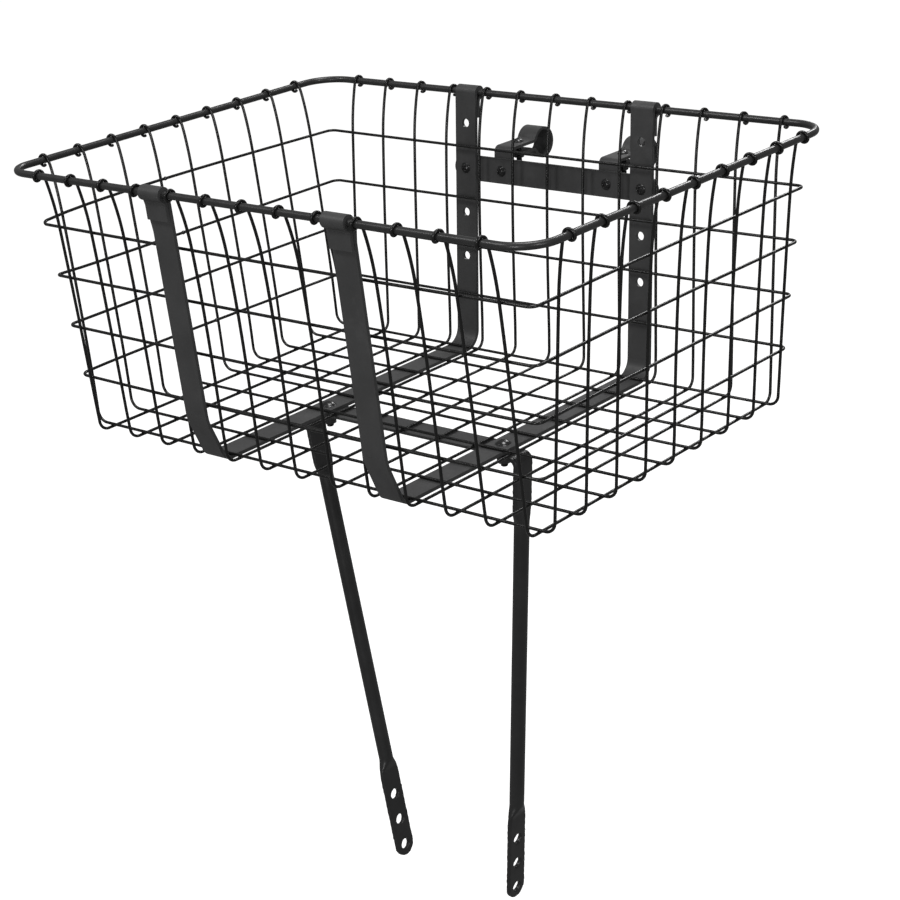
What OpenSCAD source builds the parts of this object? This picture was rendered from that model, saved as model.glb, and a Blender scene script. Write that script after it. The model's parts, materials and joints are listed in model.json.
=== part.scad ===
// Wire handlebar basket: a rod rim, a mesh of bent wires, two flat bands, a bracket strip with
// two handlebar clamps, and two legs that reach down to the wheel axle.
// Frame: origin on the handlebar's axis, midway between the clamps. -Y to the front of the basket,
// +Z up, +X to the right as seen from the front. Left and right in names are -X and +X.

/* [Basket] */
// Outer width of the rim rod, left to right
rim_w = 531; // [527:1:536]
// Outer depth of the rim rod, front to back
rim_depth = 382; // [378:1:388]
// Diameter of the rim rod
rim_d = 5.8; // [5.2:0.1:6.2]
// Corner radius of the rim on its centre line
rim_corner = 28; // [22:1:36]
// Diameter of the mesh wire
wire_d = 2.5; // [2.2:0.1:2.7]
// Spacing of the upright wires
pitch = 37; // [36.5:0.1:37.5]
// Height from the lowest wires up to the rim, centre to centre
basket_h = 222.4; // [218:0.2:228]
// Lean of the walls from upright, in degrees
lean = 5; // [4.6:0.1:5.2]
// Bend radius of the wires at the floor
wire_bend = 9; // [7:0.5:12]

/* [Hoops] */
// Drop from the rim to the first hoop
first_hoop = 45; // [42:0.5:48]
// Spacing of the hoops
hoop_pitch = 43.2; // [41:0.2:44]
// How far the first hoop is inside the rim at the sides
side_inset = 13.4; // [13:0.1:15]
// How far the first hoop is inside the rim at the front and back
front_inset = 15.2; // [14.5:0.1:16.5]
// Corner radius of the hoops
hoop_corner = 6.5; // [6:0.5:20]

/* [Bands] */
// Width of the two flat bands
band_w = 22; // [18:0.5:25]
// Thickness of the bands
band_t = 3; // [2.5:0.1:3.2]
// Diameter of the holes in the bands
band_hole_d = 7.5; // [6.5:0.1:8.5]
// Spacing of the holes up the back of each band
band_hole_pitch = 39; // [36:0.5:41]
// Lean of the bands up the front, in degrees
band_front_lean = 4.2; // [4:0.1:4.4]
// Lean of the bands up the back, in degrees
band_back_lean = 5.4; // [5.2:0.1:5.6]

/* [Bracket] */
// Height of the bracket strip
strip_h = 22; // [21:0.5:24]
// Length of the bracket strip
strip_len = 214; // [208:1:226]
// Drop from the rim to the middle of the bracket strip
strip_drop = 65; // [62:0.5:68]
// Distance of the two clamps from the middle
clamp_x = 55.5; // [50:0.5:60]
// Width of the clamp straps
clamp_w = 19; // [16:0.5:22]
// Diameter of the handlebar that the clamps hold
bar_d = 22.2; // [22:0.1:25.4]
// Forward reach from the handlebar to the middle of the basket
reach = 229; // [227:0.5:234]
// Height of the rim above the handlebar
rise = 49.5; // [48:0.5:51]

/* [Legs] */
// Diameter of the leg tubes
tube_d = 12.7; // [11:0.1:14]
// Width of the flattened leg ends
flat_w = 21; // [18:0.5:23]
// Distance of the cross strip in front of the basket's middle
cross_y = 23; // [20:0.5:30]
// Diameter of the axle eyes
eye_d = 9.5; // [8:0.1:11]
// Height of the basket floor above the axle eyes
axle_drop = 415.6; // [380:1:440]
// Distance of each axle eye from the middle
axle_x = 63; // [58:0.5:68]

/* [Hidden] */
$fn = 64;
black = "#1c1c1d";
zinc = "#3a3a3c";
// Gap left between two pieces that touch
gap = 0.05;
long_count = 13;
side_count = 9;
strap_t = 2.5;
// Half sizes of the rim and of the first hoop, on their centre lines
rim_half_x = (rim_w - rim_d) / 2;
rim_half_y = (rim_depth - rim_d) / 2;
hoop_half_x = rim_half_x - side_inset;
hoop_half_y = rim_half_y - front_inset;
// Heights measured from the rim's centre line
floor_long = -basket_h;
floor_side = floor_long + wire_d + gap;
band_floor = floor_side - wire_d / 2 - gap - band_t / 2;
cross_top = band_floor - band_t / 2 - gap;
// Distance straight out from the plane of the hoops' centre lines to the wires'
wire_out = wire_d + gap;
// Distances straight out from the middle of a band's thickness
band_in = -band_t / 2;
strip_in = band_t / 2 + gap;
clamp_in = strip_in + strap_t + gap;
// Radius of the wires' roll round the rim
wire_roll = rim_d / 2 + gap + wire_d / 2;
// Ends of the rolls round the rim, as angles from straight out
wire_roll_end = -105;
band_front_bend = 10;
band_back_bend = 16;
// Foot of a band's front: it leans more there, and this is the radius of its turn into the wall
band_foot_lean = 23;
band_foot_bend = 30;
// Where a band's end lies back against it: the turn under the rim, and the gap that is left
tail_bend = 4.5;
tail_gap = 0.4;
tail_len = 13.5;
band_x = 2.5 * pitch;
// Small screws: shank, head and nut
screw_d = 5;
screw_head_d = 9.5;
screw_head_h = 2.9;
screw_nut_w = 8;
screw_nut_h = 4;
// Leg bolts: shank, head and nut
bolt_d = 6;
bolt_head_d = 13;
bolt_head_h = 3.2;
bolt_nut_w = 10;
bolt_nut_h = 6;
// Running clearance round a pivot, on the diameter
run = 0.15;
// Clearance of a hole that only holds a screw, on the diameter
loose = 0.4;
flat_t = 4;
cross_w = 24.5;
spare_pitch = 25;
leg_top_x = 18.5;
fold_r = 5;
top_flat = 42;
squash = 10;
foot_above = 25;
axle_y = -10;

// Everything on the basket is placed from the middle of its rim
module at_rim() {
    translate([0, -reach, rise])
        children();
}

// Outline of a round wire (w = 0) or of a flat strap
module section(t, w, extra = 0) {
    if (w == 0)
        circle(d = t + extra);
    else
        square([t + extra, w + extra], center = true);
}

// Sweeps an outline along an arc, or straight along +Y
module bend_sweep(r, from, to) {
    rotate([0, 0, from])
        rotate_extrude(angle = to - from)
            translate([r, 0])
                children();
}
module run_sweep(len) {
    translate([0, len, 0])
        rotate([90, 0, 0])
            linear_extrude(len)
                children();
}

// A bead, a hair wider than the wire, makes each stretch one solid with the next
bead_len = 0.6;
bead_extra = 0.04;
slack = 0.1;
module bead(t, w) {
    translate([0, -bead_len / 2, 0])
        run_sweep(bead_len)
            section(t, w, bead_extra);
}

// Follows a path that starts at the origin towards +Y. Each step is [0, length] for a straight
// stretch or [radius, angle] for a bend, where a positive angle turns right
module follow(path, t, w, i = 0) {
    r = path[i][0];
    step = path[i][1];
    side = step < 0 ? -1 : 1;
    cut = r == 0 ? slack : slack / r * 180 / PI;
    size = abs(step);
    if (r == 0)
        translate([0, cut, 0])
            run_sweep(size - 2 * cut)
                section(t, w);
    else
        translate([side * r, 0, 0])
            bend_sweep(r, side > 0 ? 180 - size + cut : cut, side > 0 ? 180 - cut : size - cut)
                section(t, w);
    if (i + 1 < len(path))
        translate(r == 0 ? [0, size, 0] : [side * r * (1 - cos(size)), r * sin(size), 0])
            rotate([0, 0, r == 0 ? 0 : -step]) {
                bead(t, w);
                follow(path, t, w, i + 1);
            }
}

// The flare from the first hoop to the rim is one arc, tangent to the wall and to the roll
function flare_r(inset, roll) =
    (pow(inset, 2) + pow(first_hoop, 2) - pow(roll, 2))
    / (2 * (inset * cos(lean) - first_hoop * sin(lean) - roll));
function flare_top(inset, r) = atan2(first_hoop + r * sin(lean), inset - r * cos(lean));

// Half of a U that crosses the floor, rises up the wall, flares out and rolls over the rim
function rising_path(wall, rim_half, floor_z, roll, bend, roll_end) =
    let (inset = rim_half - wall)
    let (r = flare_r(inset, roll))
    let (top = flare_top(inset, r))
    let (foot_z = floor_z + bend * (1 - sin(lean)))
    let (foot_x = wall + (foot_z + first_hoop) * tan(lean))
    [
        [0, foot_x - bend * cos(lean)],
        [bend, lean - 90],
        [0, (-first_hoop - foot_z) / cos(lean)],
        [r, 180 - lean - top],
        [roll, top - roll_end]
    ];

module two_sides(path, other_path, floor_z, t, w) {
    translate([0, floor_z, 0]) {
        rotate([0, 0, -90])
            bead(t, w);
        for (side = [0, 1])
            mirror([side, 0, 0])
                rotate([0, 0, -90])
                    follow(side == 0 ? path : other_path, t, w);
    }
}

module u_shape(path, floor_z, t, w) {
    two_sides(path, path, floor_z, t, w);
}

// A wire from the front, under the floor and up the back
module long_wire(i) {
    wall = hoop_half_y + wire_out / cos(lean);
    path = rising_path(wall, rim_half_y, floor_long, wire_roll, wire_bend, wire_roll_end);
    color(black)
        at_rim()
            translate([(i - (long_count + 1) / 2) * pitch, 0, 0])
                rotate([90, 0, 90])
                    u_shape(path, floor_long, wire_d, 0);
}

// A wire from the left side, across the floor and up the right side
module side_wire(i) {
    wall = hoop_half_x + wire_out / cos(lean);
    path = rising_path(wall, rim_half_x, floor_side, wire_roll, wire_bend, wire_roll_end);
    color(black)
        at_rim()
            translate([0, (i - (side_count + 1) / 2) * pitch, 0])
                rotate([90, 0, 0])
                    u_shape(path, floor_side, wire_d, 0);
}

// A closed rod loop with round corners
module rod_loop(half_x, half_y, corner, d) {
    for (turn = [0:3]) {
        along = turn % 2 == 0 ? half_x : half_y;
        across = turn % 2 == 0 ? half_y : half_x;
        rotate([0, 0, 90 * turn]) {
            translate([along - corner, across - corner, 0])
                bend_sweep(corner, 0, 90)
                    circle(d = d);
            translate([along, corner - across, 0])
                run_sweep(2 * (across - corner))
                    circle(d = d);
        }
    }
}

module rim() {
    color(black)
        at_rim()
            rod_loop(rim_half_x, rim_half_y, rim_corner, rim_d);
}

function hoop_z(i) = -first_hoop - (i - 1) * hoop_pitch;
function wall_shift(z) = (z + first_hoop) * tan(lean);

module hoop(i) {
    shift = wall_shift(hoop_z(i));
    color(black)
        at_rim()
            translate([0, 0, hoop_z(i)])
                rod_loop(hoop_half_x + shift, hoop_half_y + shift, hoop_corner, wire_d);
}

band_roll = rim_d / 2 + gap + band_t / 2;
// How far a band turns back after it has gone half round the rim
tail_turn = acos((tail_bend - band_roll + band_t + tail_gap) / (band_roll + tail_bend));

// Middle line of a straight band under the rim, as its distance out at a height
function band_line(z, tilt) =
    rim_half_y - band_roll * cos(tilt) + (z - band_roll * sin(tilt)) * tan(tilt);

// The end of a band: round the rim, then back against itself
band_end = [
    [band_roll, 180 + tail_turn],
    [tail_bend, -tail_turn],
    [0, tail_len]
];

// The back of a band, from the middle of the floor, straight up and round the rim
function back_path(tilt, bend) =
    let (foot_z = band_floor + bend * (1 - sin(tilt)))
    concat([
        [0, band_line(foot_z, tilt) - bend * cos(tilt)],
        [bend, tilt - 90],
        [0, (band_roll * sin(tilt) - foot_z) / cos(tilt)]
    ], band_end);

// The front of a band: it turns up round the last side wire, leans out to the line of the wall,
// and goes straight up and round the rim
function front_path(tilt, lean) =
    let (side_y = (side_count - 1) / 2 * pitch)
    let (from_y = side_y + band_front_bend * cos(lean))
    let (from_z = band_floor + band_front_bend * (1 - sin(lean)))
    let (climb = (band_line(from_z, tilt) - from_y) / (sin(lean) - cos(lean) * tan(tilt)))
    let (turn = band_foot_bend * tan((lean - tilt) / 2))
    let (wall_z = from_z + climb * cos(lean))
    concat([
        [0, side_y],
        [band_front_bend, lean - 90],
        [0, climb - turn],
        [band_foot_bend, tilt - lean],
        [0, (band_roll * sin(tilt) - wall_z) / cos(tilt) - turn]
    ], band_end);

// Places things on the back of the bands: Y is straight out from the middle of their thickness,
// Z is up the band
module on_back_band(z) {
    translate([0, band_line(z, band_back_lean), z])
        rotate([-band_back_lean, 0, 0])
            children();
}

module drill_y(d, len) {
    rotate([90, 0, 0])
        cylinder(d = d, h = len, center = true);
}

module band(x) {
    color(black)
        at_rim()
            difference() {
                translate([x, 0, 0])
                    rotate([90, 0, 90])
                        two_sides(back_path(band_back_lean, band_back_bend),
                            front_path(band_front_lean, band_foot_lean), band_floor, band_t, band_w);
                on_back_band(-strip_drop) {
                    translate([x, 0, 0])
                        drill_y(screw_d + loose, 3 * band_t);
                    for (k = [-1, 1, 2])
                        translate([x, 0, -k * band_hole_pitch])
                            drill_y(band_hole_d, 3 * band_t);
                }
                translate([x, -cross_y, band_floor])
                    cylinder(d = bolt_d + loose, h = 3 * band_t, center = true);
            }
}

// A flat bar with round ends, lying in X and Y
module round_bar(len, w, t) {
    linear_extrude(t, center = true)
        union() {
            square([len - w, w], center = true);
            for (side = [-1, 1])
                translate([side * (len - w) / 2, 0])
                    circle(d = w);
        }
}

module bracket_strip() {
    color(black)
        at_rim()
            on_back_band(-strip_drop)
                translate([0, strip_in + strap_t / 2, 0])
                    difference() {
                        rotate([90, 0, 0])
                            round_bar(strip_len, strip_h, strap_t);
                        for (x = [-band_x, -clamp_x, clamp_x, band_x])
                            translate([x, 0, 0])
                                drill_y(screw_d + loose, 3 * strap_t);
                    }
}

module cross_strip() {
    color(black)
        at_rim()
            translate([0, -cross_y, cross_top - strap_t / 2])
                difference() {
                    round_bar(2 * band_x + cross_w, cross_w, strap_t);
                    for (side = [-1, 1])
                        translate([side * band_x, 0, 0])
                            cylinder(d = bolt_d + loose, h = 3 * strap_t, center = true);
                }
}

// A domed screw pointing down -Z, with the underside of its head at z = 0
module domed_screw(d, head_d, head_h, len) {
    dome_r = (pow(head_d / 2, 2) + pow(head_h, 2)) / (2 * head_h);
    translate([0, 0, -len])
        cylinder(d = d, h = len);
    intersection() {
        translate([0, 0, head_h - dome_r])
            sphere(r = dome_r);
        cylinder(d = head_d + 1, h = head_h + 1);
    }
}

// A hexagon nut standing on z = 0
module hex_nut(d, across, h) {
    difference() {
        cylinder(d = across / cos(30), h = h, $fn = 6);
        translate([0, 0, -1])
            cylinder(d = d + gap, h = h + 2);
    }
}

// Bracket screws point out through the back wall
function screw_seat(x) = abs(x) > clamp_x + 1 ? band_in : strip_in;
function screw_back(x) = abs(x) > clamp_x + 1 ? strip_in + strap_t : clamp_in + strap_t;

module bracket_screws() {
    color(zinc)
        at_rim()
            on_back_band(-strip_drop)
                for (x = [-band_x, -clamp_x, clamp_x, band_x])
                    translate([x, screw_seat(x) - gap, 0])
                        rotate([90, 0, 0])
                            domed_screw(screw_d, screw_head_d, screw_head_h,
                                screw_back(x) - screw_seat(x) + screw_nut_h + 2);
}

module bracket_nuts() {
    color(zinc)
        at_rim()
            on_back_band(-strip_drop)
                for (x = [-band_x, -clamp_x, clamp_x, band_x])
                    translate([x, screw_back(x) + gap, 0])
                        rotate([-90, 0, 0])
                            hex_nut(screw_d, screw_nut_w, screw_nut_h);
}

leg_tab_z = cross_top - strap_t - gap - flat_t / 2;
leg_nut_z = leg_tab_z - flat_t / 2 - gap;

module leg_bolts() {
    head_z = band_floor + band_t / 2 + gap;
    color(zinc)
        at_rim()
            for (side = [-1, 1])
                translate([side * band_x, -cross_y, head_z])
                    domed_screw(bolt_d, bolt_head_d, bolt_head_h,
                        head_z - leg_nut_z + bolt_nut_h + 3);
}

module leg_nuts() {
    color(zinc)
        at_rim()
            for (side = [-1, 1])
                translate([side * band_x, -cross_y, leg_nut_z - bolt_nut_h])
                    hex_nut(bolt_d, bolt_nut_w, bolt_nut_h);
}

// Handlebar clamp: one strap, from its foot on the bracket strip back to the bar, round it and
// forward again under the clamp bolt
tab_in = 2.35;
tab_mid = tab_in + strap_t / 2;
strap_bend = 3 + strap_t / 2;
wrap_r = bar_d / 2 + strap_t / 2;
turn_z = tab_mid + strap_bend;
turn_y = -sqrt(pow(wrap_r + strap_bend, 2) - pow(turn_z, 2));
turn_angle = atan2(turn_z, turn_y);
clamp_bolt_y = -24;
lower_tab_end = clamp_bolt_y - 9;
foot_below = 9.5;
// Middle line of the foot: its point level with the first hoop, and how far up it folds back
clamp_mid = clamp_in + strap_t / 2;
foot_line_y = band_line(-first_hoop, band_back_lean) - reach + clamp_mid * cos(band_back_lean);
foot_line_z = rise - first_hoop - clamp_mid * sin(band_back_lean);
fold_z = tab_mid - strap_bend;
fold_up = (fold_z + strap_bend * sin(band_back_lean) - foot_line_z) / cos(band_back_lean);
fold_y = foot_line_y + fold_up * sin(band_back_lean) + strap_bend * cos(band_back_lean);
foot_len = fold_up + (strip_drop - first_hoop) / cos(band_back_lean) + foot_below;
upper_path = [
    [wrap_r, -turn_angle],
    [strap_bend, turn_angle - 90],
    [0, turn_y - fold_y],
    [strap_bend, band_back_lean - 90],
    [0, foot_len]
];
lower_path = [
    [wrap_r, -turn_angle],
    [strap_bend, turn_angle - 90],
    [0, turn_y - lower_tab_end]
];

module clamp(x) {
    color(black)
        difference() {
            translate([x, 0, 0])
                rotate([90, 0, 90]) {
                    translate([wrap_r, 0, 0]) {
                        bead(strap_t, clamp_w);
                        follow(upper_path, strap_t, clamp_w);
                        mirror([0, 1, 0])
                            follow(lower_path, strap_t, clamp_w);
                    }
                }
            translate([x, clamp_bolt_y, 0])
                cylinder(d = screw_d + loose, h = 30, center = true);
            at_rim()
                on_back_band(-strip_drop)
                    translate([x, clamp_mid, 0])
                        drill_y(screw_d + run, 1.6 * strap_t);
        }
}

module clamp_bolt(x) {
    color(zinc)
        translate([x, clamp_bolt_y, tab_mid + strap_t / 2 + gap])
            domed_screw(screw_d, screw_head_d, screw_head_h,
                2 * tab_mid + strap_t + screw_nut_h + 4);
}

module clamp_nut(x) {
    color(zinc)
        translate([x, clamp_bolt_y, -tab_mid - strap_t / 2 - gap - screw_nut_h])
            hex_nut(screw_d, screw_nut_w, screw_nut_h);
}

// Leg: tab under the cross strip, folded down outboard of its bolt, then a tube that is pressed
// flat at both ends
eye_z = floor_long - axle_drop;
eye_x = axle_x - band_x;
fold_angle = atan2(leg_top_x - eye_x, leg_tab_z - fold_r - eye_z);
// End of the fold, from the bolt's axis and the middle of the tab
start_x = leg_top_x - fold_r + fold_r * cos(fold_angle);
start_z = -fold_r - fold_r * sin(fold_angle);
leg_run = [eye_x - start_x, axle_y + cross_y, eye_z - leg_tab_z - start_z];
leg_len = norm(leg_run);
leg_tip = asin(leg_run.y / leg_len);
leg_swing = atan2(-leg_run.x, -leg_run.z);
foot_flat = foot_above + 2 * spare_pitch;
tube_top = top_flat + squash;
tube_end = leg_len - foot_flat - squash;
slice_t = 0.02;

// Thin slices of the flat and of the round tube, with their tops at z
module flat_slice(z) {
    translate([0, 0, z - slice_t / 2])
        cube([flat_t, flat_w, slice_t], center = true);
}
module tube_slice(z) {
    translate([0, 0, z - slice_t])
        cylinder(d = tube_d - 0.1, h = slice_t, $fn = 32);
}

module on_leg_axis() {
    rotate([0, leg_swing, 0])
        rotate([leg_tip, 0, 0])
            children();
}

// A strip that starts round at the origin and runs to +X
module tongue(len) {
    circle(d = flat_w);
    translate([0, -flat_w / 2])
        square([len, flat_w]);
}

module leg_tab() {
    difference() {
        union() {
            linear_extrude(flat_t, center = true)
                tongue(leg_top_x - fold_r);
            translate([leg_top_x - fold_r, 0, 0])
                rotate([90, 0, 0])
                    rotate([0, 0, -90]) {
                        bead(flat_t, flat_w);
                        follow([[fold_r, 90 + fold_angle]], flat_t, flat_w);
                    }
        }
        cylinder(d = bolt_d + run, h = 3 * flat_t, center = true);
    }
}

module leg_foot() {
    translate([0, 0, -leg_len])
        rotate([0, -90, 0])
            linear_extrude(flat_t, center = true)
                difference() {
                    tongue(foot_flat);
                    for (k = [0:2])
                        translate([k * spare_pitch, 0])
                            circle(d = eye_d);
                }
}

module flat_bead(z) {
    translate([0, 0, z])
        rotate([90, 0, 0])
            bead(flat_t, flat_w);
}

module leg_shape() {
    leg_tab();
    translate([start_x, 0, start_z]) {
        rotate([0, fold_angle, 0])
            flat_bead(0);
        hull() {
            rotate([0, fold_angle, 0])
                flat_slice(-slack);
            on_leg_axis()
                flat_slice(slack - top_flat);
        }
        on_leg_axis() {
            flat_bead(-top_flat);
            hull() {
                flat_slice(-top_flat - slack);
                tube_slice(slice_t - tube_top);
            }
            translate([0, 0, -tube_end])
                cylinder(d = tube_d, h = tube_end - tube_top);
            hull() {
                tube_slice(-tube_end);
                flat_slice(foot_flat - leg_len + slack);
            }
            flat_bead(foot_flat - leg_len);
            leg_foot();
        }
    }
}

module leg(side) {
    color(black)
        at_rim()
            mirror([side < 0 ? 1 : 0, 0, 0])
                translate([band_x, -cross_y, leg_tab_z])
                    leg_shape();
}

rim();
long_wire(1);  // long_wire_01
long_wire(2);  // long_wire_02
long_wire(3);  // long_wire_03
long_wire(4);  // long_wire_04
long_wire(5);  // long_wire_05
long_wire(6);  // long_wire_06
long_wire(7);  // long_wire_07
long_wire(8);  // long_wire_08
long_wire(9);  // long_wire_09
long_wire(10);  // long_wire_10
long_wire(11);  // long_wire_11
long_wire(12);  // long_wire_12
long_wire(13);  // long_wire_13
side_wire(1);  // side_wire_01
side_wire(2);  // side_wire_02
side_wire(3);  // side_wire_03
side_wire(4);  // side_wire_04
side_wire(5);  // side_wire_05
side_wire(6);  // side_wire_06
side_wire(7);  // side_wire_07
side_wire(8);  // side_wire_08
side_wire(9);  // side_wire_09
hoop(1);  // hoop_1
hoop(2);  // hoop_2
hoop(3);  // hoop_3
hoop(4);  // hoop_4
band(-band_x);  // band_left
band(band_x);  // band_right
bracket_strip();
cross_strip();
bracket_screws();
bracket_nuts();
leg_bolts();
leg_nuts();
clamp(-clamp_x);  // clamp_left
clamp(clamp_x);  // clamp_right
clamp_bolt(-clamp_x);  // clamp_bolt_left
clamp_bolt(clamp_x);  // clamp_bolt_right
clamp_nut(-clamp_x);  // clamp_nut_left
clamp_nut(clamp_x);  // clamp_nut_right
leg(-1);  // leg_left
leg(1);  // leg_right
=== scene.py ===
import json
import math
import random

import bmesh
import bpy
from mathutils import Matrix, Vector


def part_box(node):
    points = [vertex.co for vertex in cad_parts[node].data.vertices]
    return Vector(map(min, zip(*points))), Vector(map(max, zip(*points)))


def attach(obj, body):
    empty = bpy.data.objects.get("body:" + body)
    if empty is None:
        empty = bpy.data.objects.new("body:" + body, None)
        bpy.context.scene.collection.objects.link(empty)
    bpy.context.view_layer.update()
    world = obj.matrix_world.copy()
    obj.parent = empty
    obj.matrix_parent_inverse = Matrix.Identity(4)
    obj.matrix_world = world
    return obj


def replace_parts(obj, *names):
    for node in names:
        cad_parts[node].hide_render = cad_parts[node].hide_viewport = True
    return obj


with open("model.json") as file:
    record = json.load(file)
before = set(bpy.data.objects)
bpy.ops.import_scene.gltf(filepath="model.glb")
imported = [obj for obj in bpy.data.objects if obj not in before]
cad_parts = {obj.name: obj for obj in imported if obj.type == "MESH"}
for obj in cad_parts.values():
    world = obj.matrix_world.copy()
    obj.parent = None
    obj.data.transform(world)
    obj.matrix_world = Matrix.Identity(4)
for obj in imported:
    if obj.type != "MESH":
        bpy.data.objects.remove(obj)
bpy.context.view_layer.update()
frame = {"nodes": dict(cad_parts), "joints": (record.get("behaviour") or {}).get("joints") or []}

MM = 0.001

# ---------------------------------------------------------------- dimensions, in millimetres
RIM_D, WIRE_D, GAP = 5.8, 2.5, 0.05
LEAN = math.radians(5.0)                            # of the walls
FIRST_HOOP, HOOP_PITCH, HOOP_COUNT = 45.0, 43.2, 4  # down from the rim's middle
SIDE_INSET, FRONT_INSET = 13.4, 15.2                # rim to the first hoop
BASKET_H, PITCH = 222.4, 37.0
LONG_COUNT, SIDE_COUNT = 13, 9
HOOP_CORNER, WIRE_BEND = 6.5, 9.0
RIM_CORNER, RIM_CORNER_TIGHT = 28.0, 22.5
FLAT_W, FLAT_T, FOLD_R = 21.0, 4.0, 5.0             # pressed ends of the legs
TOP_FLAT, FOOT_FLAT, SQUASH = 42.0, 75.0, 10.0

rim_lo, rim_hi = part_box("rim")
CENTRE = (rim_lo + rim_hi) / 2          # middle of the rim
RIM_X = (rim_hi.x - rim_lo.x) / 2 / MM - RIM_D / 2
RIM_Y = (rim_hi.y - rim_lo.y) / 2 / MM - RIM_D / 2
HOOP_X, HOOP_Y = RIM_X - SIDE_INSET, RIM_Y - FRONT_INSET
FLOOR_LONG = -BASKET_H
FLOOR_SIDE = FLOOR_LONG + WIRE_D + GAP


def at_rim(x, y, z):
    """Millimetres from the middle of the rim, as a point of the frame."""
    return CENTRE + Vector((x, y, z)) * MM


# ---------------------------------------------------------------- materials
def nodes_of(mat):
    mat.use_nodes = True
    nt = mat.node_tree
    nt.nodes.clear()
    out = nt.nodes.new("ShaderNodeOutputMaterial")
    bsdf = nt.nodes.new("ShaderNodeBsdfPrincipled")
    nt.links.new(bsdf.outputs["BSDF"], out.inputs["Surface"])
    return nt, bsdf


def add(nt, kind, **values):
    node = nt.nodes.new(kind)
    for key, value in values.items():
        if hasattr(node, key):
            setattr(node, key, value)
        else:
            node.inputs[key].default_value = value
    return node


def ramp(nt, source, stops):
    node = nt.nodes.new("ShaderNodeValToRGB")
    cr = node.color_ramp
    while len(cr.elements) < len(stops):
        cr.elements.new(0.5)
    for element, (pos, value) in zip(cr.elements, stops):
        element.position = pos
        element.color = (*value, 1.0)
    nt.links.new(source, node.inputs["Fac"])
    return node.outputs["Color"]


def grey(v):
    return (v, v, v)


def clamp01(v):
    return min(1.0, max(0.0, v))


def paint(name, dark, light, rough, peel=900.0, peel_depth=0.00004, specular=0.4, rubbed=True):
    """Black powder coat from dark to light, mottled and with orange peel. rubbed lightens the edges,
    which needs a fine mesh; without it the flats have light scuffs."""
    mat = bpy.data.materials.new(name)
    nt, bsdf = nodes_of(mat)
    tc = add(nt, "ShaderNodeTexCoord")
    mottle = add(nt, "ShaderNodeTexNoise", Scale=38.0, Detail=5.0, Roughness=0.6)
    nt.links.new(tc.outputs["Object"], mottle.inputs["Vector"])
    base = ramp(nt, mottle.outputs["Fac"], [(0.32, dark), (0.7, light)])
    mix = add(nt, "ShaderNodeMix", data_type="RGBA")
    if rubbed:
        geo = add(nt, "ShaderNodeNewGeometry")
        edge = ramp(nt, geo.outputs["Pointiness"], [(0.53, (0, 0, 0)), (0.62, (1, 1, 1))])
    else:
        scuffs = add(nt, "ShaderNodeTexNoise", Scale=11.0, Detail=8.0, Roughness=0.72)
        nt.links.new(tc.outputs["Object"], scuffs.inputs["Vector"])
        edge = ramp(nt, scuffs.outputs["Fac"], [(0.56, (0, 0, 0)), (0.74, (0.55, 0.55, 0.55))])
    nt.links.new(edge, mix.inputs["Factor"])
    nt.links.new(base, mix.inputs["A"])
    mix.inputs["B"].default_value = (*[c * 1.7 + 0.006 for c in light], 1.0)
    nt.links.new(mix.outputs["Result"], bsdf.inputs["Base Color"])
    fine = add(nt, "ShaderNodeTexNoise", Scale=150.0, Detail=3.0, Roughness=0.55)
    nt.links.new(tc.outputs["Object"], fine.inputs["Vector"])
    r = ramp(nt, fine.outputs["Fac"], [(0.25, grey(rough - 0.06)), (0.78, grey(rough + 0.08))])
    nt.links.new(r, bsdf.inputs["Roughness"])
    bsdf.inputs["Metallic"].default_value = 0.0
    bsdf.inputs["Specular IOR Level"].default_value = specular
    peel_noise = add(nt, "ShaderNodeTexNoise", Scale=peel, Detail=2.0, Roughness=0.5)
    nt.links.new(tc.outputs["Object"], peel_noise.inputs["Vector"])
    bump = add(nt, "ShaderNodeBump", Strength=0.35, Distance=peel_depth)
    nt.links.new(peel_noise.outputs["Fac"], bump.inputs["Height"])
    nt.links.new(bump.outputs["Normal"], bsdf.inputs["Normal"])
    return mat


wire_paint = paint("wire_paint", (0.003, 0.003, 0.003), (0.006, 0.006, 0.0059), 0.27, specular=0.4)
rim_paint = paint("rim_paint", (0.021, 0.021, 0.0211), (0.029, 0.029, 0.0291), 0.33, specular=0.4)
flat_paint = paint("flat_paint", (0.043, 0.043, 0.0434), (0.056, 0.056, 0.0565), 0.46, specular=0.36,
                   rubbed=False)
tube_paint = paint("tube_paint", (0.016, 0.016, 0.0162), (0.024, 0.024, 0.0242), 0.34, specular=0.4)
bolt_finish = paint("bolt_finish", (0.006, 0.006, 0.0063), (0.016, 0.016, 0.0163), 0.26, peel=1600.0,
                    peel_depth=0.00002, specular=0.5)

# ---------------------------------------------------------------- mesh helpers
SMOOTH_ANGLE = math.radians(35)


def new_piece(name, bm, mat, body, angle=SMOOTH_ANGLE):
    """Makes a smooth-shaded object of bm, which rides on a body and has a paint slot."""
    mesh = bpy.data.meshes.new(name)
    bmesh.ops.recalc_face_normals(bm, faces=bm.faces)
    bm.to_mesh(mesh)
    bm.free()
    obj = bpy.data.objects.new(name, mesh)
    bpy.context.scene.collection.objects.link(obj)
    mesh.materials.append(mat)
    for poly in mesh.polygons:
        poly.use_smooth = True
    mesh.set_sharp_from_angle(angle=angle)
    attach(obj, body)
    return obj


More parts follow.
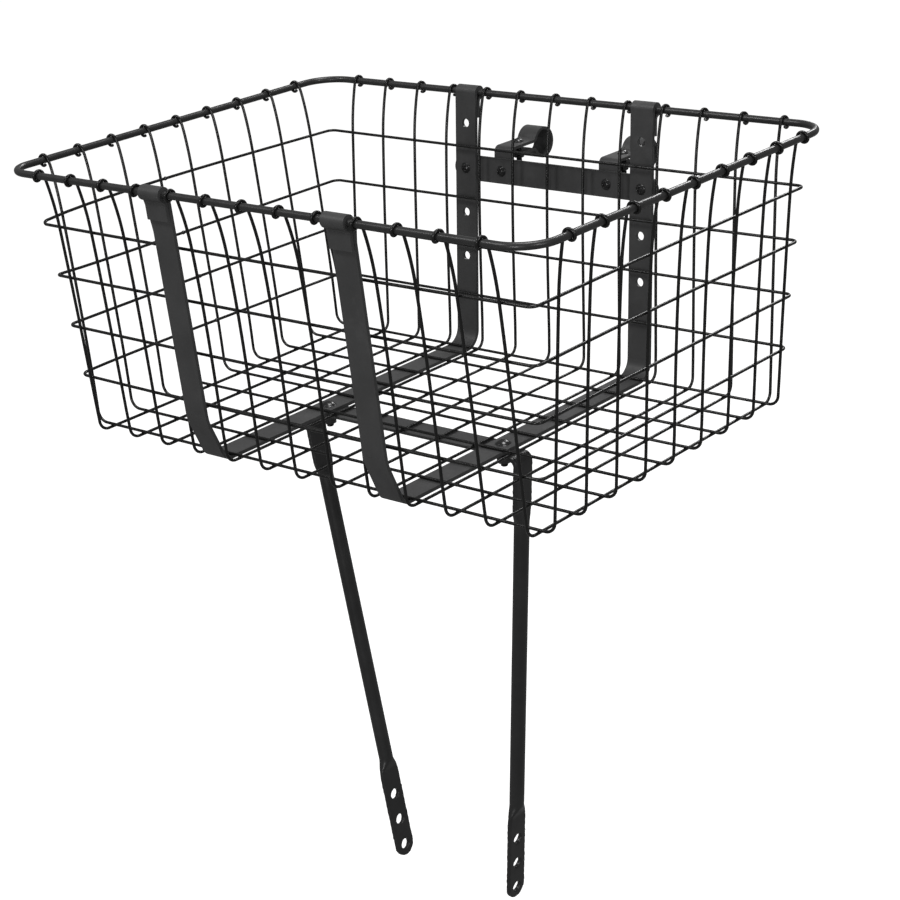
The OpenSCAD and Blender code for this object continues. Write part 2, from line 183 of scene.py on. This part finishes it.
def sweep(bm, points, section, up, closed_path=False):
    """Sweeps a closed section of (across, up) pairs along points, carrying up along without twist."""
    n = len(points)
    rings = []
    side_up = Vector(up).normalized()
    last_t = None
    for i, p in enumerate(points):
        a = points[(i - 1) % n] if closed_path or i > 0 else p
        b = points[(i + 1) % n] if closed_path or i < n - 1 else p
        t = (b - a).normalized()
        if last_t is not None:
            axis = last_t.cross(t)
            if axis.length > 1e-9:
                side_up = Matrix.Rotation(last_t.angle(t), 3, axis.normalized()) @ side_up
        side_up = (side_up - t * side_up.dot(t)).normalized()
        across = side_up.cross(t)
        rings.append([bm.verts.new(p + across * u + side_up * v) for u, v in section])
        last_t = t
    m = len(rings[0])
    for i in range(n if closed_path else n - 1):
        lo, hi = rings[i], rings[(i + 1) % n]
        for j in range(m):
            bm.faces.new((lo[j], lo[(j + 1) % m], hi[(j + 1) % m], hi[j]))
    if not closed_path:
        bm.faces.new(rings[0])
        bm.faces.new(list(reversed(rings[-1])))


def round_section(r, n):
    """A circle of radius r for sweep, as n points."""
    return [(r * math.cos(2 * math.pi * k / n), r * math.sin(2 * math.pi * k / n)) for k in range(n)]


def lathe(bm, profile, place, n, shape=None):
    """Turns (radius, height) pairs, in mm, about the local Z, in n steps. shape(radius, angle, height),
    where it is given, says where a point goes."""
    rings = []
    for r, z in profile:
        ring = []
        for k in range(n):
            a = 2 * math.pi * k / n
            x, y, h = shape(r, a, z) if shape else (r * math.cos(a), r * math.sin(a), z)
            ring.append(bm.verts.new(place @ Vector((x * MM, y * MM, h * MM))))
        rings.append(ring)
    for lo, hi in zip(rings, rings[1:]):
        for k in range(n):
            bm.faces.new((lo[k], lo[(k + 1) % n], hi[(k + 1) % n], hi[k]))
    bm.faces.new(rings[0])
    bm.faces.new(list(reversed(rings[-1])))


def place_at(origin, z_axis, turn=0.0):
    """A matrix that puts the local Z along z_axis at origin, after a turn about it."""
    z = Vector(z_axis).normalized()
    x = Vector((1, 0, 0)) if abs(z.x) < 0.9 else Vector((0, 1, 0))
    x = (x - z * x.dot(z)).normalized()
    y = z.cross(x)
    m = Matrix((
        (x.x, y.x, z.x, origin.x),
        (x.y, y.y, z.y, origin.y),
        (x.z, y.z, z.z, origin.z),
        (0, 0, 0, 1),
    ))
    return m @ Matrix.Rotation(turn, 4, "Z")


def box_of(points):
    """The low and high corners of the box round some points."""
    lo = Vector([min(p[k] for p in points) for k in range(3)])
    hi = Vector([max(p[k] for p in points) for k in range(3)])
    return lo, hi


def clusters(node):
    """Boxes of the separate solids of a node, which lie in a row along X, 4 mm or more apart."""
    pts = sorted((tuple(v.co) for v in frame["nodes"][node].data.vertices), key=lambda p: p[0])
    groups = [[pts[0]]]
    for p in pts[1:]:
        if p[0] - groups[-1][-1][0] > 4 * MM:
            groups.append([])
        groups[-1].append(p)
    return [box_of(g) for g in groups]


# ---------------------------------------------------------------- how the hand-bent walls stand
BOW_FRONT, BOW_BACK, BOW_SIDE = 3.6, 2.6, 2.0   # mm inward at the most
LEFT_OUT = 3.4                                  # mm that the left wall stands out
BOW_END = 0.9           # of the basket's height, where the bow ends
WALL_Y_FROM, WALL_X_FROM, WALL_BLEND = 0.72, 0.78, 0.12     # of the rim's half sizes
OUT_FROM, OUT_BLEND = 12.0, 8.0                 # mm inside the left wall, where it starts to stand out


def wall_at(z):
    """Half the width and half the depth between the walls' hoops at a height, in mm."""
    out = (z + FIRST_HOOP) * math.tan(LEAN)
    return HOOP_X + out, HOOP_Y + out


def bow(p):
    """Millimetres from the rim's middle, moved as hand-bent walls bow inward between rim and floor.
    The left wall stands out a little as well."""
    x, y, z = p
    h = min(1.0, max(0.0, -z / BASKET_H) / BOW_END)
    f = math.sin(math.pi * h ** 0.8)            # the bow is deepest a little above half height
    wall_y = clamp01((abs(y) / RIM_Y - WALL_Y_FROM) / WALL_BLEND)
    wall_x = clamp01((abs(x) / RIM_X - WALL_X_FROM) / WALL_BLEND)
    depth = BOW_FRONT if y < 0 else BOW_BACK
    in_y = depth * f * wall_y * math.cos(math.pi / 2 * min(1.0, abs(x) / HOOP_X))
    in_x = BOW_SIDE * f * wall_x * math.cos(math.pi / 2 * min(1.0, abs(y) / HOOP_Y))
    if x < 0:
        near_wall = clamp01((abs(x) - wall_at(z)[0] + OUT_FROM) / OUT_BLEND)
        in_x -= LEFT_OUT * math.sqrt(max(0.0, f)) * near_wall
    return (x - math.copysign(in_x, x), y - math.copysign(in_y, y), z)


# ---------------------------------------------------------------- bent wires, rolled round the rim
ROLL = RIM_D / 2 + GAP + WIRE_D / 2     # radius of the roll round the rim
ROLL_END, ROLL_CREEP = -132, 3.2        # degrees, and mm along the rim
WIRE_SIDES, RIM_SIDES = 12, 20
FLOOR_STEPS, BEND_STEPS, WALL_STEPS, NECK_STEPS, ROLL_STEPS = 10, 7, 10, 10, 26


def half_u(wall_half, rim_half, floor_z, roll_end, drift):
    """Half of a U in its own plane: (out, up, sideways) in mm, from the floor's middle to the tip of
    the roll, at the angle roll_end. drift is how far the roll creeps sideways, as a coil does."""
    inset = rim_half - wall_half
    neck = (inset ** 2 + FIRST_HOOP ** 2 - ROLL ** 2) / (
        2 * (inset * math.cos(LEAN) - FIRST_HOOP * math.sin(LEAN) - ROLL))
    top = math.atan2(FIRST_HOOP + neck * math.sin(LEAN), inset - neck * math.cos(LEAN))
    foot_z = floor_z + WIRE_BEND * (1 - math.sin(LEAN))
    foot_x = wall_half + (foot_z + FIRST_HOOP) * math.tan(LEAN)
    cx, cz = foot_x - WIRE_BEND * math.cos(LEAN), floor_z + WIRE_BEND
    pts = [(cx * k / FLOOR_STEPS, floor_z, 0.0) for k in range(FLOOR_STEPS)]
    for k in range(BEND_STEPS + 1):
        a = -math.pi / 2 + (math.pi / 2 - LEAN) * k / BEND_STEPS
        pts.append((cx + WIRE_BEND * math.cos(a), cz + WIRE_BEND * math.sin(a), 0.0))
    for k in range(1, WALL_STEPS):
        z = foot_z + (-FIRST_HOOP - foot_z) * k / WALL_STEPS
        pts.append((wall_half + (z + FIRST_HOOP) * math.tan(LEAN), z, 0.0))
    cx, cz = wall_half + neck * math.cos(LEAN), -FIRST_HOOP - neck * math.sin(LEAN)
    for k in range(NECK_STEPS + 1):
        a = math.pi - LEAN + (top - math.pi + LEAN) * k / NECK_STEPS
        pts.append((cx + neck * math.cos(a), cz + neck * math.sin(a), 0.0))
    for k in range(1, ROLL_STEPS + 1):
        f = k / ROLL_STEPS
        a = top + (roll_end - top) * f
        creep = drift * (3 * f * f - 2 * f ** 3)
        pts.append((rim_half + ROLL * math.cos(a), ROLL * math.sin(a), creep))
    return pts


OUTSIDE_HOOP = (WIRE_D + GAP) / math.cos(LEAN)      # a hoop's middle to the middle of a wall wire
rng = random.Random(7)
for name in sorted(frame["nodes"]):
    if not name.startswith(("long_wire", "side_wire")):
        continue
    lo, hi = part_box(name)
    long_way = name.startswith("long")
    at = ((lo.x + hi.x) / 2 - CENTRE.x) / MM if long_way else ((lo.y + hi.y) / 2 - CENTRE.y) / MM
    path = []
    for end in (-1, 1):
        drift = (ROLL_CREEP + rng.uniform(-0.5, 0.4)) * end
        tip = math.radians(ROLL_END + rng.uniform(-12, 14))
        wave = rng.uniform(-0.35, 0.35)
        if long_way:
            half = half_u(HOOP_Y + OUTSIDE_HOOP, RIM_Y, FLOOR_LONG, tip, drift)
        else:
            half = half_u(HOOP_X + OUTSIDE_HOOP, RIM_X, FLOOR_SIDE, tip, drift)
        half = [(end * o, u, s + wave * math.sin(math.pi * min(1.0, -u / BASKET_H))) for o, u, s in half]
        path = list(reversed(half)) if end < 0 else path[:-1] + half
    pts = []
    for out, z, side in path:
        p = bow((at + side, out, z) if long_way else (out, at + side, z))
        pts.append(at_rim(*p))
    bm = bmesh.new()
    sweep(bm, pts, round_section(WIRE_D / 2 * MM, WIRE_SIDES), (1, 0, 0) if long_way else (0, 1, 0))
    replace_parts(new_piece(name + "_formed", bm, wire_paint, "basket"), name)

# ---------------------------------------------------------------- rim, and hoops with their butt welds
def rod_loop(hx, hy, corners, corner_steps, side_steps):
    """(x, y) points in mm round a rectangle with round corners, from its back right corner leftwards."""
    ends = [(1, 1), (-1, 1), (-1, -1), (1, -1)]
    path = []
    for k, (cx, cy) in enumerate(ends):
        r = corners[k]          # of this corner, then of the next one
        for j in range(corner_steps + 1):
            a = math.radians(90 * (k + j / corner_steps))
            path.append((cx * (hx - r) + r * math.cos(a), cy * (hy - r) + r * math.sin(a)))
        nx, ny = ends[(k + 1) % 4]
        r = corners[(k + 1) % 4]
        x0, y0 = path[-1]
        x1, y1 = nx * (hx - r) + r * math.cos(a), ny * (hy - r) + r * math.sin(a)
        for j in range(1, side_steps):
            path.append((x0 + (x1 - x0) * j / side_steps, y0 + (y1 - y0) * j / side_steps))
    return path


bm = bmesh.new()
corners = (RIM_CORNER, RIM_CORNER, RIM_CORNER_TIGHT, RIM_CORNER)
loop = rod_loop(RIM_X, RIM_Y, corners, corner_steps=14, side_steps=30)
pts = [at_rim(x, y, 0) for x, y in loop]
sweep(bm, pts, round_section(RIM_D / 2 * MM, RIM_SIDES), (0, 0, 1), closed_path=True)
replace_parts(new_piece("rim_formed", bm, rim_paint, "basket"), "rim")

HOOP_LIFT = {1: 1.0, 2: -1.2, 3: 0.6, 4: -0.4}      # at the back left corner
HOOP_HUMP = {1: 4.0, 2: -1.6, 3: 0.0, 4: 1.5}       # along the left side
HOOP_SAG = 2.2                                      # along the front
WELD_BEAD = [(1.2, -1.5), (1.55, -0.9), (1.75, -0.3), (1.7, 0.25), (1.5, 0.9), (1.2, 1.5)]


def on_hoop(i, x, y):
    """A point of the frame on hand-set hoop i, or just outside it, at x and y in mm. A hoop is out of
    level: a hump along the left side, a sag along the front."""
    z = -FIRST_HOOP - (i - 1) * HOOP_PITCH
    hx, hy = wall_at(z)
    sag = HOOP_SAG * (hy - y) / (2 * hy) * math.cos(math.pi / 2 * min(1.0, abs(x) / hx))
    t = clamp01((hy + y) / (2 * hy))
    hump = HOOP_HUMP[i] * math.sin(math.pi * t ** 0.55) * clamp01(-x / hx)
    lift = HOOP_LIFT[i] * (hx - x) / (2 * hx) * t + hump - sag
    return at_rim(*bow((x, y, z + lift)))


def uneven_bead(r, a, h):
    """The shape of a butt weld's bead, for lathe."""
    return r * (1 + 0.06 * math.sin(3 * a + h)) * math.cos(a), r * math.sin(a), h


for i in range(1, HOOP_COUNT + 1):
    hx, hy = wall_at(-FIRST_HOOP - (i - 1) * HOOP_PITCH)
    loop = rod_loop(hx, hy, (HOOP_CORNER,) * 4, corner_steps=6, side_steps=16)
    pts = [on_hoop(i, x, y) for x, y in loop]
    bm = bmesh.new()
    sweep(bm, pts, round_section(WIRE_D / 2 * MM, WIRE_SIDES), (0, 0, 1), closed_path=True)
    butt_weld = on_hoop(i, -hx, -hy * 0.25 + 9 * i)
    lathe(bm, WELD_BEAD, place_at(butt_weld, (0, 1, 0)), n=14, shape=uneven_bead)
    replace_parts(new_piece("hoop_%d_formed" % i, bm, wire_paint, "basket"), "hoop_%d" % i)

# ---------------------------------------------------------------- spot welds where wires cross
WELD_R, WELD_STRETCH, WELD_UNEVEN = 0.95, 1.25, 0.12
LONG_AT = [(i - (LONG_COUNT + 1) / 2) * PITCH for i in range(1, LONG_COUNT + 1)]
SIDE_AT = [(i - (SIDE_COUNT + 1) / 2) * PITCH for i in range(1, SIDE_COUNT + 1)]
bm = bmesh.new()
weld_rng = random.Random(21)


def nugget(p, along):
    """A slightly uneven ball, longer in one direction."""
    ball = bmesh.ops.create_icosphere(bm, subdivisions=1, radius=WELD_R * MM)
    m = place_at(p, along)
    for v in ball["verts"]:
        k = 1 + weld_rng.uniform(-WELD_UNEVEN, WELD_UNEVEN)
        v.co = m @ Vector((v.co.x * k, v.co.y * k, v.co.z * WELD_STRETCH * k))


for i in range(1, HOOP_COUNT + 1):
    hx, hy = wall_at(-FIRST_HOOP - (i - 1) * HOOP_PITCH)
    for x in LONG_AT:
        for s in (-1, 1):
            nugget(on_hoop(i, x, s * (hy + WIRE_D / 2)), (0, 0, 1))
    for y in SIDE_AT:
        for s in (-1, 1):
            nugget(on_hoop(i, s * (hx + WIRE_D / 2), y), (0, 0, 1))
for x in LONG_AT:
    for y in SIDE_AT:
        nugget(at_rim(x, y, (FLOOR_LONG + FLOOR_SIDE) / 2), (0, 1, 0))
new_piece("spot_welds", bm, wire_paint, "basket")

# ---------------------------------------------------------------- sheet parts with eased edges
SHARP_EDGE = math.radians(32.0)
BAND_EDGE, STRIP_EDGE, CLAMP_EDGE = 0.45, 0.4, 0.35


def eased(node, width, mat, body):
    """A copy of a CAD node with its sharp edges rounded over a width in mm, in place of the node."""
    bm = bmesh.new()
    bm.from_mesh(frame["nodes"][node].data)
    bmesh.ops.remove_doubles(bm, verts=bm.verts, dist=2e-6)
    bmesh.ops.dissolve_limit(bm, angle_limit=math.radians(0.6), verts=bm.verts, edges=bm.edges,
                             use_dissolve_boundaries=False)
    sharp = [e for e in bm.edges if e.is_manifold and e.calc_face_angle(0.0) > SHARP_EDGE]
    bmesh.ops.bevel(bm, geom=sharp, offset=width * MM, offset_type="OFFSET", segments=2, profile=0.6,
                    affect="EDGES", clamp_overlap=True)
    bmesh.ops.triangulate(bm, faces=[f for f in bm.faces if len(f.verts) > 4])
    piece = new_piece(node + "_finished", bm, mat, body, angle=math.radians(30))
    even = piece.modifiers.new("even_flats", "WEIGHTED_NORMAL")
    even.keep_sharp = True
    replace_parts(piece, node)


VOXEL, CRIMP_PASSES, CRIMP_MARGIN = 0.75 * MM, 12, 4 * MM


def softened(node, mat, body, zones):
    """A copy of a CAD node with the round edges of pressed tube, in place of the node. zones are
    (low, high) heights, in metres, where the tube changes to flat and is smoothed further."""
    temp = bpy.data.objects.new("temp", frame["nodes"][node].data.copy())
    bpy.context.scene.collection.objects.link(temp)
    remesh = temp.modifiers.new("remesh", "REMESH")
    remesh.mode = "VOXEL"
    remesh.voxel_size = VOXEL
    smooth = temp.modifiers.new("smooth", "SMOOTH")
    smooth.factor = 0.5
    smooth.iterations = 5
    done = temp.evaluated_get(bpy.context.evaluated_depsgraph_get())
    bm = bmesh.new()
    bm.from_mesh(done.to_mesh())
    done.to_mesh_clear()
    bpy.data.objects.remove(temp, do_unlink=True)
    for low, high in zones:
        for k in range(CRIMP_PASSES):
            margin = CRIMP_MARGIN * (1 - k / CRIMP_PASSES)
            verts = [v for v in bm.verts if low - margin < v.co.z < high + margin]
            bmesh.ops.smooth_vert(bm, verts=verts, factor=0.5, use_axis_x=True, use_axis_y=True,
                                  use_axis_z=True)
    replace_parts(new_piece(node + "_finished", bm, mat, body, angle=math.radians(60)), node)


for node in ("band_left", "band_right"):
    eased(node, BAND_EDGE, flat_paint, "basket")
for node in ("bracket_strip", "cross_strip"):
    eased(node, STRIP_EDGE, flat_paint, "basket")
for side in ("left", "right"):
    eased("clamp_" + side, CLAMP_EDGE, flat_paint, "clamp_" + side)
    lo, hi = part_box("leg_" + side)
    low_crimp = lo.z + (FLAT_W / 2 + FOOT_FLAT) * MM
    high_crimp = hi.z - (FLAT_T + FOLD_R + TOP_FLAT) * MM
    softened("leg_" + side, tube_paint, "leg_" + side,
             [(low_crimp - MM, low_crimp + SQUASH * MM), (high_crimp - SQUASH * MM, high_crimp + MM)])


# ---------------------------------------------------------------- screws, bolts and nuts
HEAD_STEPS = 16
HEAD_RIM = 0.4          # heights under this are the head's straight edge, which the recess leaves alone


def domed_head(bm, m, d, h, recess):
    """A low domed head on z = 0, pointing up. recess is the width of its cross recess, 0 for none."""
    ball = ((d / 2) ** 2 + h ** 2) / (2 * h)

    def shape(r, a, z):
        x, y = r * math.cos(a), r * math.sin(a)
        if z > HEAD_RIM:
            arm = min(abs(x), abs(y))
            reach = max(abs(x), abs(y))
            if arm < recess * 0.17 and reach < recess * 0.5:
                z -= min(1.1, 0.5 + 2.2 * (0.5 - reach / recess))
        return x, y, z

    profile = [(d / 2 - 0.25, 0.0), (d / 2, 0.2)]
    for k in range(1, HEAD_STEPS + 1):
        r = (d / 2 - 0.05) * (1 - k / HEAD_STEPS) + 0.08
        dome = ball * math.cos(math.asin(min(1.0, r / ball))) - ball + h
        profile.append((r, max(HEAD_RIM + 0.02, dome)))
    lathe(bm, profile, m, n=48, shape=shape)


def thread(bm, m, d, length, pitch):
    """A threaded shank from z = 0 down, with a chamfered end."""
    crest, root = d / 2 - 0.02, d / 2 - 0.38
    profile = [(crest, 0.0)]
    z = 0.0
    while z > -length + 1.0:
        profile += [(crest, z - pitch * 0.3), (root, z - pitch * 0.62), (crest, z - pitch * 0.95)]
        z -= pitch
    profile += [(d / 2 - 0.25, -length + 0.35), (d / 2 - 0.7, -length)]
    lathe(bm, profile, m, n=24)


def hex_nut(bm, m, across, h, bore):
    """A chamfered hexagon nut on z = 0, pointing up, with a countersunk bore."""
    flats = across / 2
    face = flats * 0.92         # radius of the flat end face, inside the chamfer

    def shape(r, a, z):
        if r > face:
            wedge = (a + math.pi / 6) % (math.pi / 3) - math.pi / 6
            flat = flats / math.cos(wedge)
            cut = (flat - flats) * 0.62
            return flat * math.cos(a), flat * math.sin(a), min(max(z, cut), h - cut)
        return r * math.cos(a), r * math.sin(a), z

    sink = 0.35                 # of the countersunk bore
    profile = [(bore / 2, h * 0.5), (bore / 2, sink), (bore / 2 + sink, 0.0), (face, 0.0), (flats, 0.0),
               (flats, h), (face, h), (bore / 2 + sink, h), (bore / 2, h - sink), (bore / 2, h * 0.52)]
    lathe(bm, profile, m, n=60, shape=shape)


clamp_joint = next(j for j in frame["joints"] if j["name"] == "clamp_left_swivel")
wall_out = Vector(clamp_joint["axis"]).normalized()     # out through the leaning back of the bands
SCREW_D, SCREW_HEAD, SCREW_HEAD_H, SCREW_PITCH = 5.0, 9.5, 2.9, 0.8
SCREW_NUT, SCREW_NUT_H = 8.0, 4.0
BOLT_D, BOLT_HEAD, BOLT_HEAD_H, BOLT_PITCH, BOLT_NUT = 6.0, 13.0, 3.2, 1.0, 10.0
RECESS, PLAIN = 5.4, 0.0
turn_rng = random.Random(5)


def reach_along(node, lo, hi, axis):
    """One solid of a node whose solids lie in a row along X, whose box is lo..hi: how far it reaches
    along an axis, in metres, and the middle of its far end."""
    verts = frame["nodes"][node].data.vertices
    pts = [v.co.copy() for v in verts if lo.x - 1e-5 <= v.co.x <= hi.x + 1e-5]
    ahead = [p.dot(axis) for p in pts]
    far = [p for p, a in zip(pts, ahead) if a > max(ahead) - 1e-4]
    end = sum(far, Vector()) / len(far)
    end.x = (lo.x + hi.x) / 2
    return max(ahead) - min(ahead), end


def fastener(name, bm, body):
    """Finishes the mesh that stands for a fastener's CAD node."""
    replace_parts(new_piece(name + "_finished", bm, bolt_finish, body), name)


bm = bmesh.new()
for lo, hi in clusters("bracket_screws"):
    length, end = reach_along("bracket_screws", lo, hi, wall_out)
    shank = length - SCREW_HEAD_H * MM
    under_head = end - wall_out * shank
    head_at = place_at(under_head, -wall_out, turn_rng.uniform(0, 1.5))
    domed_head(bm, head_at, SCREW_HEAD, SCREW_HEAD_H, RECESS)
    thread(bm, place_at(under_head, -wall_out), SCREW_D, shank / MM, SCREW_PITCH)
fastener("bracket_screws", bm, "basket")

bm = bmesh.new()
for lo, hi in clusters("bracket_nuts"):
    length, end = reach_along("bracket_nuts", lo, hi, wall_out)
    seat = place_at(end - wall_out * length, wall_out, turn_rng.uniform(0, 1.0))
    hex_nut(bm, seat, SCREW_NUT, SCREW_NUT_H, SCREW_D)
fastener("bracket_nuts", bm, "basket")


def upright_bolt(bm, lo, hi, d, head_d, head_h, recess, pitch):
    """A bolt that fills the box lo..hi, with its head at the top."""
    under_head = Vector(((lo.x + hi.x) / 2, (lo.y + hi.y) / 2, hi.z - head_h * MM))
    head_at = place_at(under_head, (0, 0, 1), turn_rng.uniform(0, 1.5))
    domed_head(bm, head_at, head_d, head_h, recess)
    thread(bm, head_at, d, (hi.z - lo.z) / MM - head_h, pitch)


def upright_nut(bm, lo, hi, across, bore):
    """A nut that fills the box lo..hi."""
    foot = Vector(((lo.x + hi.x) / 2, (lo.y + hi.y) / 2, lo.z))
    seat = place_at(foot, (0, 0, 1), turn_rng.uniform(0, 1.0))
    hex_nut(bm, seat, across, (hi.z - lo.z) / MM, bore)


bm = bmesh.new()
for lo, hi in clusters("leg_bolts"):
    upright_bolt(bm, lo, hi, BOLT_D, BOLT_HEAD, BOLT_HEAD_H, PLAIN, BOLT_PITCH)
fastener("leg_bolts", bm, "basket")

bm = bmesh.new()
for lo, hi in clusters("leg_nuts"):
    upright_nut(bm, lo, hi, BOLT_NUT, BOLT_D)
fastener("leg_nuts", bm, "basket")

for side in ("left", "right"):
    bm = bmesh.new()
    lo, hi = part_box("clamp_bolt_" + side)
    upright_bolt(bm, lo, hi, SCREW_D, SCREW_HEAD, SCREW_HEAD_H, RECESS, SCREW_PITCH)
    fastener("clamp_bolt_" + side, bm, "clamp_" + side)
    bm = bmesh.new()
    lo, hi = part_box("clamp_nut_" + side)
    upright_nut(bm, lo, hi, SCREW_NUT, SCREW_D)
    fastener("clamp_nut_" + side, bm, "clamp_" + side)

# ---------------------------------------------------------------- floor, lights, camera
def glowing_white():
    """An even, pale white for the floor and the backdrop."""
    mat = bpy.data.materials.new("studio_white")
    nt, bsdf = nodes_of(mat)
    bsdf.inputs["Base Color"].default_value = (0.3, 0.3, 0.3, 1.0)
    bsdf.inputs["Roughness"].default_value = 1.0
    bsdf.inputs["Specular IOR Level"].default_value = 0.0
    bsdf.inputs["Emission Color"].default_value = (1.0, 1.0, 0.995, 1.0)
    bsdf.inputs["Emission Strength"].default_value = 0.95
    return mat


FLOOR_Z = -0.93
BACKDROP_R = 19.0
white = glowing_white()
bpy.ops.mesh.primitive_plane_add(size=2.1 * BACKDROP_R, location=(0, 0, FLOOR_Z))
floor = bpy.context.object
floor.name = "floor"
bpy.ops.mesh.primitive_uv_sphere_add(radius=BACKDROP_R, segments=48, ring_count=24, location=(0, 0, 0))
backdrop = bpy.context.object
backdrop.name = "backdrop"
for obj in (floor, backdrop):
    obj.data.materials.append(white)
    # only the camera sees them, so that the black paint isn't lit from all sides
    obj.visible_diffuse = False
    obj.visible_glossy = False
    obj.visible_shadow = False

world = bpy.data.worlds.new("studio")
bpy.context.scene.world = world
world.use_nodes = True
sky = world.node_tree.nodes["Background"]
sky.inputs["Color"].default_value = (1.0, 1.0, 1.0, 1.0)
sky.inputs["Strength"].default_value = 0.22


def area(name, loc, target, size, power):
    """A square area light of a size in metres and a power in watts, aimed at a target."""
    light = bpy.data.lights.new(name, "AREA")
    light.energy = power
    light.shape = "SQUARE"
    light.size = size
    obj = bpy.data.objects.new(name, light)
    obj.location = loc
    obj.rotation_euler = (Vector(target) - Vector(loc)).to_track_quat("-Z", "Y").to_euler()
    bpy.context.scene.collection.objects.link(obj)


area("key", (-1.3, -2.2, 2.3), (0, -0.2, -0.1), size=0.8, power=33)
area("fill", (2.8, -1.0, 1.0), (0, -0.2, -0.2), size=0.7, power=20)
area("top", (0.2, 0.2, 3.0), (0, -0.2, 0), size=1.2, power=60)
area("back", (-0.6, 2.4, 1.6), (0, -0.2, -0.1), size=0.8, power=30)
area("front", (1.0, -3.0, 0.2), (0, -0.2, -0.2), size=0.7, power=22)

cam_data = bpy.data.cameras.new("camera")
cam_data.lens = 87.5
cam_data.sensor_width = 36.0
cam_data.sensor_fit = "HORIZONTAL"
cam_data.shift_x = 0.0081
cam_data.shift_y = -0.0328
cam = bpy.data.objects.new("camera", cam_data)
right = Vector((0.76902, 0.63524, -0.07119)).normalized()
forward = Vector((-0.61676, 0.70813, -0.34374)).normalized()
upward = right.cross(forward).normalized()
cam.matrix_world = Matrix((
    (right.x, upward.x, -forward.x, 1.10703),
    (right.y, upward.y, -forward.y, -1.48638),
    (right.z, upward.z, -forward.z, 0.43587),
    (0, 0, 0, 1),
))
bpy.context.scene.collection.objects.link(cam)
bpy.context.scene.camera = cam
bpy.context.scene.view_settings.view_transform = "Standard"
